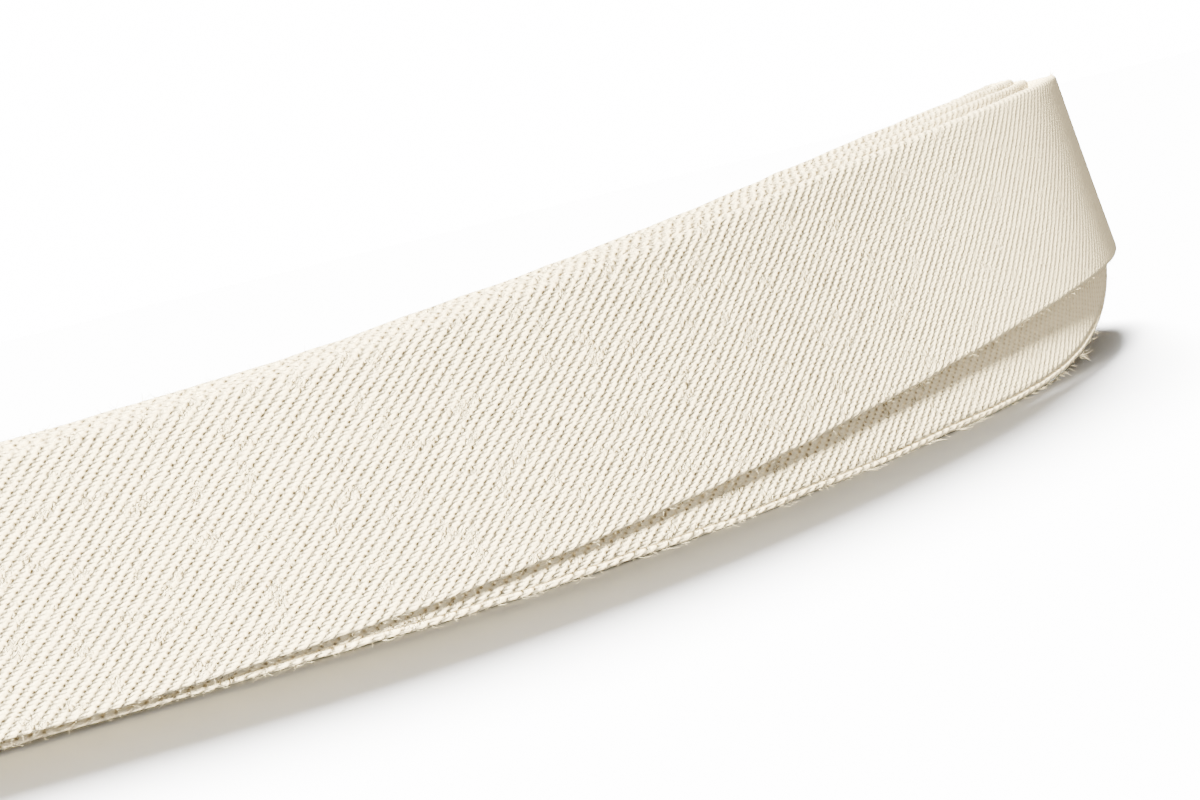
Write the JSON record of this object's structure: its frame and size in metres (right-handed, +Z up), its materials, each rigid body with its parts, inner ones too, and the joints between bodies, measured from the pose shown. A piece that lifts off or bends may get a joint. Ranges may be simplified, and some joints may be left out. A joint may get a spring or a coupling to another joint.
{
  "type": "wound hank of bias tape",
  "caption": "Folded cotton bias tape wound flat into a long hank that bends gently away at one end and stands on its edge.",
  "frame": {"origin": "centre of the hank's box in plan, on the surface it stands on", "axes": "+X along the hank towards its curved end, +Y to the side it curves to, +Z up"},
  "size_m": [0.1298, 0.0612, 0.0295],
  "materials": {
    "cotton": "matt natural cotton with fine diagonal ribs"
  },
  "bodies": {
    "root": {"bias_tape": "cotton"}
  },
  "joints": []
}
